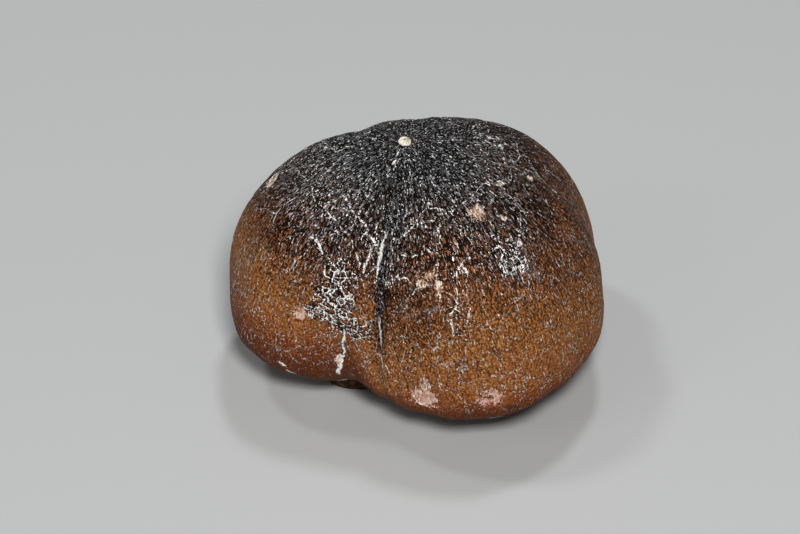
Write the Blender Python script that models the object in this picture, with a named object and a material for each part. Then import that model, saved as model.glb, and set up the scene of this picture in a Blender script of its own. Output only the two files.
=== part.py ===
"""The crown of a shell-crushing mosasaur's tooth, a fossil grown as one piece, standing on its broken neck.

Axes: +Z runs up to the apex, +X to the large lobe's end, and -Y is the front, where the groove runs down
between the two lobes. The origin is the middle of the flat foot. A place on the crown is two angles in
degrees. Its bearing is measured round the crown from +X towards +Y. Its turn is how far the surface has
rolled over: 0 at the apex, 90 at the widest line, 143 at the margin and 180 in the middle of the foot.
"""

import math
from collections import namedtuple

import bmesh
import bpy
import numpy as np
from mathutils import Vector, noise

MM = 0.001

# The outline at the widest line
HALF_WIDTH = 14.1 * MM
FRONT_DEPTH = 11.2 * MM
BACK_DEPTH = 10.1 * MM
SQUARENESS = 2.5

# The height of the apex and of the widest line, and how far the undercut would fall if it went on to 180
CROWN_HEIGHT = 19.2 * MM
WIDEST_HEIGHT = 6.2 * MM
UNDERCUT_DROP = 6.0 * MM
WIDEST_SOFTNESS = 9.0
APEX_SET_BACK = 0.9 * MM
APEX_SET_LEFT = 0.1 * MM

# The neck under the margin, as shares of the margin's reach and height at these turns
MARGIN_TURN = 143.0
FOOT_TURN = 158.0
NECK_TURNS = (MARGIN_TURN, 148.0, 153.0, FOOT_TURN, 180.0)
NECK_REACHES = (1.0, 0.94, 0.90, 0.88, 0.0)
NECK_HEIGHTS = (1.0, 0.80, 0.35, 0.0, 0.0)

# The ball that is pressed into the crown: its faces round and down, and the rings at the margin and foot
BALL_BEARINGS = 104
BALL_RINGS = 48
MARGIN_RING = 41
FOOT_RING = 44
APEX_CROWDING = 1.2

# A swell widens the outline on a bearing by a share of its reach; a hollow's rise is below 0. A fade above
# 0 makes it weaker towards the apex and stronger towards the margin.
Swell = namedtuple("Swell", "bearing width rise fade")
SWELLS = (
    Swell(-65.0, 28.0, 0.17, 0.0),  # the large lobe's front
    Swell(-125.0, 22.0, -0.23, 0.65),  # the hollow between the lobes
    Swell(-168.0, 26.0, -0.05, 0.0),  # the small lobe's end
    Swell(14.0, 14.0, -0.06, 0.0),  # the dent in the large lobe's end
    Swell(38.0, 26.0, 0.12, 0.0),  # the large lobe's back
    Swell(133.0, 22.0, -0.125, 0.0),  # the flat of the small lobe's back
)

# A crease runs down the crown, and its bearing drifts on the way
Crease = namedtuple("Crease", "top_turn foot_turn top_bearing foot_bearing half_width depth")
CREASES = (
    Crease(24.0, 118.0, -112.0, -102.5, 0.75 * MM, 0.50 * MM),  # the groove between the lobes
    Crease(34.0, 110.0, -98.0, -96.5, 0.60 * MM, 0.17 * MM),
    Crease(40.0, 104.0, -93.0, -92.0, 0.60 * MM, 0.12 * MM),
    Crease(79.0, 112.0, -121.5, -126.0, 0.50 * MM, 0.16 * MM),  # the crack low on the small lobe
)
CREASE_SOFTNESS = 5.0

# A spall is a shallow dish where a flake of enamel has gone, with a faint lip round it
Spall = namedtuple("Spall", "bearing turn radius depth")
SPALLS = (
    Spall(-87.0, 91.0, 1.35 * MM, 0.22 * MM),
    Spall(-60.0, 94.0, 0.85 * MM, 0.12 * MM),
    Spall(-82.5, 53.0, 0.85 * MM, 0.12 * MM),
    Spall(-50.5, 31.5, 0.75 * MM, 0.12 * MM),
    Spall(-138.0, 73.0, 0.70 * MM, 0.10 * MM),
    Spall(173.0, 47.0, 0.70 * MM, 0.14 * MM),
)
LIP_SHARE = 0.25

# The worn nub on the apex
NUB_RADIUS = 0.55 * MM
NUB_HEIGHT = 0.35 * MM

# Low wrinkles, long down the flanks and round on top
WRINKLE_SPACING = 2.3 * MM
WRINKLE_LENGTH = 9.0 * MM
WRINKLE_HEIGHT = 0.24 * MM

# The chipped margin, higher under the small lobe and uneven all round
MARGIN_TILT = 0.22 * MM
MARGIN_CHIP = 0.09 * MM

ENAMEL_COLOUR = (0.19, 0.085, 0.035, 1.0)
ENAMEL_ROUGHNESS = 0.38
SHARP_EDGE = 50.0


def clear_scene():
    for obj in list(bpy.data.objects):
        bpy.data.objects.remove(obj, do_unlink=True)


def sine(degrees):
    return np.sin(np.radians(degrees))


def cosine(degrees):
    return np.cos(np.radians(degrees))


def turn_between(bearing, middle):
    """The signed angle from one bearing to another, from -180 to 180."""
    return (bearing - middle + 180.0) % 360.0 - 180.0


def step_up(value, edge, softness):
    """0 well below the edge and 1 well above it, through a smooth step."""
    return 1.0 / (1.0 + np.exp((edge - value) / softness))


def stretch(turn, top, foot, softness):
    """1 between two turns and 0 outside them, with soft ends."""
    return step_up(turn, top, softness) * (1.0 - step_up(turn, foot, softness))


def profile(turn):
    """The share of the outline's reach, and the height: a dome, an undercut, a neck and a flat foot."""
    on_crown = np.minimum(turn, MARGIN_TURN)
    dome_rise = CROWN_HEIGHT - WIDEST_HEIGHT
    rise = dome_rise + (UNDERCUT_DROP - dome_rise) * step_up(on_crown, 90.0, WIDEST_SOFTNESS)
    reach = sine(on_crown) * np.interp(turn, NECK_TURNS, NECK_REACHES)
    height = (WIDEST_HEIGHT + rise * cosine(on_crown)) * np.interp(turn, NECK_TURNS, NECK_HEIGHTS)
    return reach, height


def outline(bearing, level):
    """The crown's reach from its axis; level is 1 at the apex, 0 at the widest line and below 0 under it."""
    half_depth = np.where(sine(bearing) < 0.0, FRONT_DEPTH, BACK_DEPTH)
    across = np.abs(cosine(bearing)) / HALF_WIDTH
    along = np.abs(sine(bearing)) / half_depth
    reach = (across**SQUARENESS + along**SQUARENESS) ** (-1.0 / SQUARENESS)
    for swell in SWELLS:
        near = np.exp(-((turn_between(bearing, swell.bearing) / swell.width) ** 2))
        reach = reach * (1.0 + swell.rise * near * (1.0 - swell.fade * level))
    return reach


def smooth_form(bearing, turn):
    """Points of the crown before its relief, one row each."""
    share, height = profile(turn)
    level = (height - WIDEST_HEIGHT) / (CROWN_HEIGHT - WIDEST_HEIGHT)
    reach = share * outline(bearing, level)
    chips = sine(7.0 * bearing + 40.0) + 0.6 * sine(12.0 * bearing + 130.0)
    lift = MARGIN_CHIP * chips - MARGIN_TILT * cosine(bearing)
    x = reach * cosine(bearing) - APEX_SET_LEFT * level
    y = reach * sine(bearing) + APEX_SET_BACK * level
    z = height + lift * stretch(turn, MARGIN_TURN - 12.0, FOOT_TURN - 6.0, 1.5)
    return np.stack([x, y, z], axis=-1)


def crease_relief(crease, bearing, turn, points, apex):
    """A rounded groove along the crease, as heights below the smooth form."""
    along = np.clip((turn - crease.top_turn) / (crease.foot_turn - crease.top_turn), 0.0, 1.0)
    middle = crease.top_bearing + (crease.foot_bearing - crease.top_bearing) * along
    radius = np.linalg.norm(points[:, :2] - apex[:2], axis=1)
    away = np.radians(turn_between(bearing, middle)) * radius / crease.half_width
    length = stretch(turn, crease.top_turn, crease.foot_turn, CREASE_SOFTNESS)
    return -crease.depth * np.exp(-(away**2)) * length


def spall_relief(spall, points):
    """A flat-bottomed dish with a low lip."""
    middle = smooth_form(np.array([spall.bearing]), np.array([spall.turn]))[0]
    away = np.linalg.norm(points - middle, axis=1) / spall.radius
    lip = np.exp(-(((away - 1.25) / 0.3) ** 2))
    return spall.depth * (LIP_SHARE * lip - np.exp(-(away**4)))


def wrinkle_relief(points):
    """Soft bumps that are longer up the crown than across it."""
    scale = Vector((1.0 / WRINKLE_SPACING, 1.0 / WRINKLE_SPACING, 1.0 / WRINKLE_LENGTH))
    return WRINKLE_HEIGHT * np.array([noise.noise(Vector(point) * scale) for point in points])


def relief(bearing, turn, points):
    """How far each point stands out of the smooth form."""
    apex = smooth_form(np.array([0.0]), np.array([0.0]))[0]
    out = wrinkle_relief(points)
    for crease in CREASES:
        out = out + crease_relief(crease, bearing, turn, points, apex)
    for spall in SPALLS:
        out = out + spall_relief(spall, points)
    nub = NUB_HEIGHT * np.exp(-((np.linalg.norm(points - apex, axis=1) / NUB_RADIUS) ** 2))
    return out * (1.0 - step_up(turn, MARGIN_TURN - 5.0, 2.0)) + nub


def outward(bearing, turn):
    """Unit vectors that point straight out of the smooth form; at the apex itself, up."""
    step = 0.05
    round_it = smooth_form(bearing + step, turn) - smooth_form(bearing - step, turn)
    down_it = smooth_form(bearing, turn + step) - smooth_form(bearing, np.maximum(turn - step, 0.0))
    normal = np.cross(down_it, round_it)
    length = np.linalg.norm(normal, axis=1, keepdims=True)
    at_apex = (turn < step)[:, None]
    return np.where(at_apex, (0.0, 0.0, 1.0), normal / np.maximum(length, 1e-20))


def turn_of_ring(ring):
    """The turn that each ring of the ball is pressed to, with the rings closer together near the apex."""
    crown = MARGIN_TURN * np.clip(ring / MARGIN_RING, 0.0, 1.0) ** APEX_CROWDING
    neck = np.interp(ring, (MARGIN_RING, FOOT_RING, BALL_RINGS), (MARGIN_TURN, FOOT_TURN, 180.0))
    return np.where(ring < MARGIN_RING, crown, neck)


def press_into_crown(mesh):
    """Move the vertices of a unit ball onto the crown, and centre its plan on the origin."""
    ball = np.empty(len(mesh.vertices) * 3)
    mesh.vertices.foreach_get("co", ball)
    ball = ball.reshape(-1, 3)
    bearing = np.degrees(np.arctan2(ball[:, 1], ball[:, 0]))
    drop = np.degrees(np.arctan2(np.hypot(ball[:, 0], ball[:, 1]), ball[:, 2]))
    ring = np.round(drop * BALL_RINGS / 180.0)
    turn = turn_of_ring(ring)
    points = smooth_form(bearing, turn)
    rise = np.where(ring < FOOT_RING, relief(bearing, turn, points), 0.0)
    points = points + rise[:, None] * outward(bearing, turn)
    points[ring >= FOOT_RING, 2] = 0.0
    middle = (points.min(axis=0) + points.max(axis=0)) / 2.0
    points[:, :2] -= middle[:2]
    mesh.vertices.foreach_set("co", points.ravel())
    mesh.update()


def enamel_material():
    material = bpy.data.materials.new("fossil_enamel")
    material.use_nodes = True
    shader = material.node_tree.nodes["Principled BSDF"]
    shader.inputs["Base Color"].default_value = ENAMEL_COLOUR
    shader.inputs["Roughness"].default_value = ENAMEL_ROUGHNESS
    shader.inputs["Metallic"].default_value = 0.0
    return material


def tooth_crown(collection):
    """Crown, neck and foot as one closed body."""
    mesh = bpy.data.meshes.new("tooth_crown")
    ball = bmesh.new()
    bmesh.ops.create_uvsphere(ball, u_segments=BALL_BEARINGS, v_segments=BALL_RINGS, radius=1.0)
    ball.to_mesh(mesh)
    ball.free()
    press_into_crown(mesh)
    mesh.shade_smooth()
    mesh.set_sharp_from_angle(angle=math.radians(SHARP_EDGE))
    mesh.materials.append(enamel_material())
    crown = bpy.data.objects.new("tooth_crown", mesh)
    collection.objects.link(crown)
    return crown


def main():
    clear_scene()
    collection = bpy.data.collections.new("fossil_mosasaur_tooth")
    bpy.context.scene.collection.children.link(collection)
    tooth_crown(collection)


main()
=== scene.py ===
"""The crown of a shell-crushing mosasaur's tooth, dressed to be looked at closely.

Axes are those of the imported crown: +Z runs up to the apex, +X to the large lobe's end, -Y is the front, where
the groove runs down between the two lobes, and the origin is the middle of the flat foot. Lengths are in
metres. A place on the crown is two angles in degrees. Its bearing is measured round the crown from +X towards
+Y. Its turn is how far the surface has rolled over: 0 at the apex, 90 at the widest line, 143 at the margin
and 180 in the middle of the foot.
"""

import functools
import itertools
import logging
import math
from dataclasses import dataclass, field
from enum import Enum
from typing import Any, Mapping, Sequence, Union

import bpy
import numpy as np
from mathutils import Matrix, Vector


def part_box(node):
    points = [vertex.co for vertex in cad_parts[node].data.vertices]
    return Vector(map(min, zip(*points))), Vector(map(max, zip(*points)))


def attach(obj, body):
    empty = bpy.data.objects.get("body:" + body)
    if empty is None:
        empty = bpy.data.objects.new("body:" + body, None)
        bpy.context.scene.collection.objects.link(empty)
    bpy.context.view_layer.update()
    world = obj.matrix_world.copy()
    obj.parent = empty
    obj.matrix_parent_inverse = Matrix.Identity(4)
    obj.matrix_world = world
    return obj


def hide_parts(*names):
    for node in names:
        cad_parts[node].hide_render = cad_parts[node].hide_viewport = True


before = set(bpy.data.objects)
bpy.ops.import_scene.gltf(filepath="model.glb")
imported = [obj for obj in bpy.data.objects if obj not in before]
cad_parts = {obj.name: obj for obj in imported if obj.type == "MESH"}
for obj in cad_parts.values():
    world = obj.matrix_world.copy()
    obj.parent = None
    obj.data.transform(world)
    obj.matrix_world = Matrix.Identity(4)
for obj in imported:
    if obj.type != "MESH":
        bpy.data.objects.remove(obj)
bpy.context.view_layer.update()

LOG = logging.getLogger("mosasaur_tooth")
MM = 0.001

Array = np.ndarray
Colour = tuple[float, float, float, float]
Span = tuple[float, float]
Triples = tuple[tuple[float, float, float], ...]


# ---------------------------------------------------------------- angles and steps


def sine(degrees: Array) -> Array:
    """The sine of angles in degrees."""
    return np.sin(np.radians(degrees))


def cosine(degrees: Array) -> Array:
    """The cosine of angles in degrees."""
    return np.cos(np.radians(degrees))


def turn_between(bearing: Array, middle: Array) -> Array:
    """The signed angle from one bearing to another, from -180 to 180 degrees."""
    return (bearing - middle + 180.0) % 360.0 - 180.0


def step_up(value: Array, edge: float, softness: float) -> Array:
    """0 well below the edge and 1 well above it: one over one plus the exponential of the way left to go."""
    return 1.0 / (1.0 + np.exp((edge - value) / softness))


def stretch(turn: Array, top: float, foot: float, softness: float) -> Array:
    """1 between two turns and 0 outside them, as one step up times one step down."""
    return step_up(turn, top, softness) * (1.0 - step_up(turn, foot, softness))


def bell(away: Array) -> Array:
    """A bell curve, 1 at 0: the exponential of minus the square."""
    return np.exp(-(away**2))


def stand(name: str, data: bpy.types.ID) -> bpy.types.Object:
    """Make an object of a mesh, a light or a camera, and put it in the scene.

    Args:
        name: The object's name.
        data: What it holds.

    Returns:
        The object.
    """
    thing = bpy.data.objects.new(name, data)
    bpy.context.scene.collection.objects.link(thing)
    return thing


class LatticeNoise:
    """Smooth random heights in space, from about -1 to 1, with bumps one unit apart."""

    size: int = 256
    gain: float = 1.7

    def __init__(self, seed: int) -> None:
        """Shuffle the lattice.

        Args:
            seed: Picks one of many patterns.
        """
        chance = np.random.default_rng(seed)
        self.shuffle = chance.permutation(self.size)
        slopes = chance.normal(size=(self.size, 3))
        self.slopes = slopes / np.linalg.norm(slopes, axis=1, keepdims=True)

    def at(self, points: Array) -> Array:
        """Heights at points.

        Each corner of the unit cube round a point has a random slope. The height is the sum over the eight
        corners of the slope times the way from the corner, weighted by 6t^5 - 15t^4 + 10t^3 on each axis,
        and all of it times the gain.

        Args:
            points: One row of three coordinates each.

        Returns:
            One height each.
        """
        cell = np.floor(points).astype(np.int64)
        within = points - cell
        ease = within**3 * (within * (within * 6.0 - 15.0) + 10.0)
        total = np.zeros(len(points))
        for corner in itertools.product((0, 1), repeat=3):
            x, y, z = ((cell + corner) % self.size).T
            mixed = self.shuffle[(self.shuffle[x] + y) % self.size]
            slope = self.slopes[self.shuffle[(mixed + z) % self.size]]
            weight = np.where(corner, ease, 1.0 - ease).prod(axis=1)
            total += weight * (slope * (within - corner)).sum(axis=1)
        return total * self.gain


# ---------------------------------------------------------------- the form of the crown


@dataclass(frozen=True)
class Place:
    """A place on the crown.

    Args:
        bearing: Degrees round the crown from +X towards +Y.
        turn: Degrees rolled over from the apex.
    """

    bearing: float
    turn: float


@dataclass(frozen=True)
class Swell:
    """A bulge of the outline on one bearing, or a hollow where the rise is below 0.

    Args:
        bearing: Its middle.
        width: Its half width, in degrees of bearing.
        rise: How much it adds to the outline's reach, as a share.
        fade: How much of it is gone at the apex, as a share.
    """

    bearing: float
    width: float
    rise: float
    fade: float


@dataclass(frozen=True)
class CrownForm:
    """The smooth form: a squarish outline with two lobes, a dome, an undercut, a neck and a foot."""

    half_width: float = 14.1 * MM
    front_depth: float = 11.2 * MM
    back_depth: float = 10.1 * MM
    squareness: float = 2.5
    crown_height: float = 19.2 * MM
    widest_height: float = 6.2 * MM
    undercut_drop: float = 6.0 * MM
    widest_softness: float = 9.0
    apex_set_back: float = 0.9 * MM
    apex_set_left: float = 0.1 * MM
    margin_turn: float = 143.0
    foot_turn: float = 158.0
    margin_tilt: float = 0.22 * MM
    margin_chip: float = 0.09 * MM
    chip_waves: Triples = ((7.0, 40.0, 1.0), (12.0, 130.0, 0.6))
    lift_above_margin: float = 12.0
    lift_above_foot: float = 6.0
    lift_softness: float = 1.5
    neck_turns: tuple[float, ...] = (143.0, 148.0, 153.0, 158.0, 180.0)
    neck_reaches: tuple[float, ...] = (1.0, 0.94, 0.90, 0.88, 0.0)
    neck_heights: tuple[float, ...] = (1.0, 0.80, 0.35, 0.0, 0.0)
    swells: tuple[Swell, ...] = (
        Swell(-65.0, 28.0, 0.17, 0.0),
        Swell(-125.0, 22.0, -0.23, 0.65),
        Swell(-168.0, 26.0, -0.05, 0.0),
        Swell(14.0, 14.0, -0.06, 0.0),
        Swell(38.0, 26.0, 0.12, 0.0),
        Swell(133.0, 22.0, -0.125, 0.0),
    )

    def profile(self, turn: Array) -> tuple[Array, Array]:
        """The side view.

        Down to the margin, the reach is the sine of the turn, and the height is the widest line's height plus
        the cosine of the turn times a rise, which steps from the dome's to the undercut's at the widest line.

        Args:
            turn: Turns in degrees.

        Returns:
            The share of the outline's reach, and the height.
        """
        on_crown = np.minimum(turn, self.margin_turn)
        dome_rise = self.crown_height - self.widest_height
        rise = dome_rise + (self.undercut_drop - dome_rise) * step_up(on_crown, 90.0, self.widest_softness)
        reach = sine(on_crown) * np.interp(turn, self.neck_turns, self.neck_reaches)
        height = self.widest_height + rise * cosine(on_crown)
        return reach, height * np.interp(turn, self.neck_turns, self.neck_heights)

    def outline(self, bearing: Array, level: Array) -> Array:
        """The plan view: a superellipse, times one plus a bell curve for each swell.

        Args:
            bearing: Bearings in degrees.
            level: 1 at the apex, 0 at the widest line and below 0 under it.

        Returns:
            The reach from the axis.
        """
        half_depth = np.where(sine(bearing) < 0.0, self.front_depth, self.back_depth)
        across = np.abs(cosine(bearing)) / self.half_width
        along = np.abs(sine(bearing)) / half_depth
        reach = (across**self.squareness + along**self.squareness) ** (-1.0 / self.squareness)
        for swell in self.swells:
            near = bell(turn_between(bearing, swell.bearing) / swell.width)
            reach = reach * (1.0 + swell.rise * near * (1.0 - swell.fade * level))
        return reach

    def points(self, bearing: Array, turn: Array) -> Array:
        """Points of the smooth form: the profile's reach times the outline, about an axis that leans back.

        Round the margin they are lifted and lowered by sine waves, each with its count, phase and share.

        Args:
            bearing: Bearings in degrees.
            turn: Turns in degrees, one for each bearing.

        Returns:
            Rows of x, y and z.
        """
        reach_share, height = self.profile(turn)
        level = (height - self.widest_height) / (self.crown_height - self.widest_height)
        reach = reach_share * self.outline(bearing, level)
        chips = sum(share * sine(count * bearing + phase) for count, phase, share in self.chip_waves)
        lift = self.margin_chip * chips - self.margin_tilt * cosine(bearing)
        x = reach * cosine(bearing) - self.apex_set_left * level
        y = reach * sine(bearing) + self.apex_set_back * level
        lift_top = self.margin_turn - self.lift_above_margin
        lift_foot = self.foot_turn - self.lift_above_foot
        z = height + lift * stretch(turn, lift_top, lift_foot, self.lift_softness)
        return np.stack([x, y, z], axis=-1)

    def point(self, place: Place) -> Array:
        """The point of the smooth form at one place."""
        return self.points(np.array([place.bearing]), np.array([place.turn]))[0]

    def slopes(self, bearing: Array, turn: Array) -> tuple[Array, Array, Array]:
        """The directions of the surface at points of the smooth form.

        Two points a tenth of a degree apart give each direction along it, and their cross product the third.

        Args:
            bearing: Bearings in degrees.
            turn: Turns in degrees.

        Returns:
            Unit vectors down the crown, round it and straight out of it.
        """
        step = 0.05
        round_it = self.points(bearing + step, turn) - self.points(bearing - step, turn)
        down_it = self.points(bearing, turn + step) - self.points(bearing, np.maximum(turn - step, 0.0))
        out_of_it = np.cross(down_it, round_it)
        ways = (down_it, round_it, out_of_it)
        lengths = (np.linalg.norm(way, axis=1, keepdims=True) for way in ways)
        down, around, out = (way / np.maximum(length, 1e-20) for way, length in zip(ways, lengths))
        return down, around, np.where((turn < step)[:, None], (0.0, 0.0, 1.0), out)


FORM = CrownForm()


# ---------------------------------------------------------------- relief


@dataclass(frozen=True)
class Crease:
    """A rounded groove down the crown, whose bearing drifts on the way.

    Args:
        top: Where it starts.
        foot: Where it ends.
        half_width: How far from its middle its bell curve has fallen to about a third.
        depth: Its depth.
        softness: Over how many degrees of turn its ends fade.
    """

    top: Place
    foot: Place
    half_width: float
    depth: float
    softness: float = 5.0

    def relief(self, bearing: Array, turn: Array, points: Array) -> Array:
        """Heights below the smooth form: minus the depth times a bell curve of the way from the crease.

        Args:
            bearing: Bearings in degrees.
            turn: Turns in degrees.
            points: Points of the smooth form.

        Returns:
            One height each.
        """
        along = np.clip((turn - self.top.turn) / (self.foot.turn - self.top.turn), 0.0, 1.0)
        middle = self.top.bearing + (self.foot.bearing - self.top.bearing) * along
        radius = np.linalg.norm(points[:, :2] - FORM.point(Place(0.0, 0.0))[:2], axis=1)
        away = np.radians(turn_between(bearing, middle)) * radius / self.half_width
        kept = stretch(turn, self.top.turn, self.foot.turn, self.softness)
        return -self.depth * bell(away) * kept


@dataclass(frozen=True)
class Spall:
    """A shallow dish where a flake of enamel has gone, with a faint lip round it.

    Args:
        place: Its middle.
        radius: Its radius.
        depth: Its depth.
        lip_share: The lip's height, as a share of the depth.
        lip_reach: The lip's radius, in radii.
        lip_width: The lip's half width, in radii.
    """

    place: Place
    radius: float
    depth: float
    lip_share: float = 0.25
    lip_reach: float = 1.25
    lip_width: float = 0.3

    def relief(self, points: Array) -> Array:
        """Heights: minus a flat-topped bell curve of the distance, plus a narrow ring round it.

        Args:
            points: Points of the smooth form.

        Returns:
            One height each.
        """
        away = np.linalg.norm(points - FORM.point(self.place), axis=1) / self.radius
        lip = bell((away - self.lip_reach) / self.lip_width)
        return self.depth * (self.lip_share * lip - bell(away**2))


@dataclass(frozen=True)
class Wrinkles:
    """Fine wrinkles that run down from the apex and turn to a pebbled net below.

    They keep one spacing from the apex to the margin. Their noise is read on cylinders whose radii double,
    and fades from one cylinder to the next as the crown widens.

    Args:
        spacing: How far apart they are.
        draw: How much longer than wide they are.
        seed: Picks one of many patterns.
        first_radius: The first cylinder's radius.
        cylinders: How many cylinders there are.
        stagger: How far the noise is shifted from one cylinder to the next, in spacings.
    """

    spacing: float
    draw: float
    seed: int
    first_radius: float = 1.6 * MM
    cylinders: int = 4
    stagger: float = 31.7

    def octave(self, radius: Array) -> Array:
        """Which cylinder a point is on: the base-2 logarithm of its radius over the first one's."""
        return np.clip(np.log2(np.maximum(radius, 1e-9) / self.first_radius), 0.0, self.cylinders - 1.0)

    def field(self, lane: Array, octave: Array) -> Array:
        """The wrinkles' heights.

        On each cylinder the point is the bearing's cosine and sine times the radius, and the lane's third
        part over the draw, all over the spacing. The noise of two neighbouring cylinders is weighted by how
        near each is, and the sum is divided by the root of the squared weights' sum.

        Args:
            lane: Rows of the bearing's cosine and sine, and the eased way down from the apex.
            octave: Which cylinder each point is on.

        Returns:
            Heights from about -1 to 1.
        """
        noise = LatticeNoise(self.seed)
        total = np.zeros(len(lane))
        power = np.zeros(len(lane))
        for index in range(self.cylinders):
            radius = self.first_radius * 2.0**index
            weight = np.clip(1.0 - np.abs(octave - index), 0.0, 1.0)
            scale = np.array([radius, radius, 1.0 / self.draw]) / self.spacing
            total += weight * noise.at(lane * scale + self.stagger * index)
            power += weight**2
        return total / np.sqrt(power)


# ---------------------------------------------------------------- what fills and marks the skin


class Stain(Enum):
    """What a mark on the skin shows, by the name of the mesh attribute that holds it."""

    CHALK = "chalk"
    DUST = "dust"
    CREAM = "cream"
    ROSE = "rose"
    SOOT = "soot"
    NUB = "nub"
    BARE = "bare"


@dataclass(frozen=True)
class Mark:
    """A patch of the skin with one stain.

    Args:
        stain: What it shows.
        place: Its middle.
        radius: Its radius across the crown.
        strength: The most that it covers.
        tall: Its length down the crown over its width.
        hollow: Its ring's radius in radii, or 0 for a patch that is full.
        thinning: How much narrower a ring of one radius is than a full patch's edge, as a share.
    """

    stain: Stain
    place: Place
    radius: float
    strength: float = 1.0
    tall: float = 1.0
    hollow: float = 0.0
    thinning: float = 0.6

    def cover(self, points: Array) -> Array:
        """How strongly the patch covers points.

        This is the strength times the exponential of minus the cube of the distance from the middle, or from
        the ring of a hollow patch.

        Args:
            points: Points of the smooth form.

        Returns:
            Shares from 0 to 1.
        """
        down = FORM.slopes(np.array([self.place.bearing]), np.array([self.place.turn]))[0]
        away = points - FORM.point(self.place)
        along = away @ down[0]
        across = np.sqrt(np.maximum((away**2).sum(axis=1) - along**2, 0.0))
        reach = np.hypot(across, along / self.tall) / self.radius
        width = 1.0 - self.thinning * self.hollow
        return self.strength * np.exp(-((np.abs(reach - self.hollow) / width) ** 3))


class Seam(Enum):
    """What a crack holds, by the name of the mesh attribute with the distance to it."""

    FILLED = "filled_crack"
    OPEN = "open_crack"


@dataclass(frozen=True)
class Crack:
    """A crack down or across the enamel.

    Args:
        path: The bearing, the turn and the crack's half width in millimetres at each place along it.
        stride: How many points it is laid out with from one place to the next.
    """

    path: Triples
    stride: int = 24

    def distance(self, points: Array) -> Array:
        """How far points are outside the crack: the distance to its nearest step, less half its width.

        Args:
            points: Points of the smooth form.

        Returns:
            Distances in millimetres, below 0 within the crack and no more than 1.
        """
        knots = np.array(self.path)
        steps = np.linspace(0.0, len(knots) - 1.0, self.stride * (len(knots) - 1) + 1)
        bearing, turn, half_width = (np.interp(steps, np.arange(len(knots)), column) for column in knots.T)
        spots = FORM.points(bearing, turn)
        near = np.all((points > spots.min(axis=0) - MM) & (points < spots.max(axis=0) + MM), axis=1)
        away = np.ones(len(points))
        for spot, half in zip(spots, half_width):
            away[near] = np.minimum(away[near], np.linalg.norm(points[near] - spot, axis=1) / MM - half)
        return away


@dataclass(frozen=True)
class Drift:
    """A stretch of the crown where the bands of colour stand higher or lower than elsewhere.

    Args:
        bearing: Its middle.
        width: Its half width, in degrees of bearing.
        top: The turn where it starts.
        foot: The turn where it ends.
        amount: How many degrees of turn further down the bands are read there.
        softness: Over how many degrees of turn its ends fade.
    """

    bearing: float
    width: float
    top: float
    foot: float
    amount: float
    softness: float = 6.0

    def shift(self, bearing: Array, turn: Array) -> Array:
        """The shift of points: the amount times a bell curve of the bearing, between the two turns."""
        near = bell(turn_between(bearing, self.bearing) / self.width)
        return self.amount * near * stretch(turn, self.top, self.foot, self.softness)


# ---------------------------------------------------------------- the skin


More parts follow.
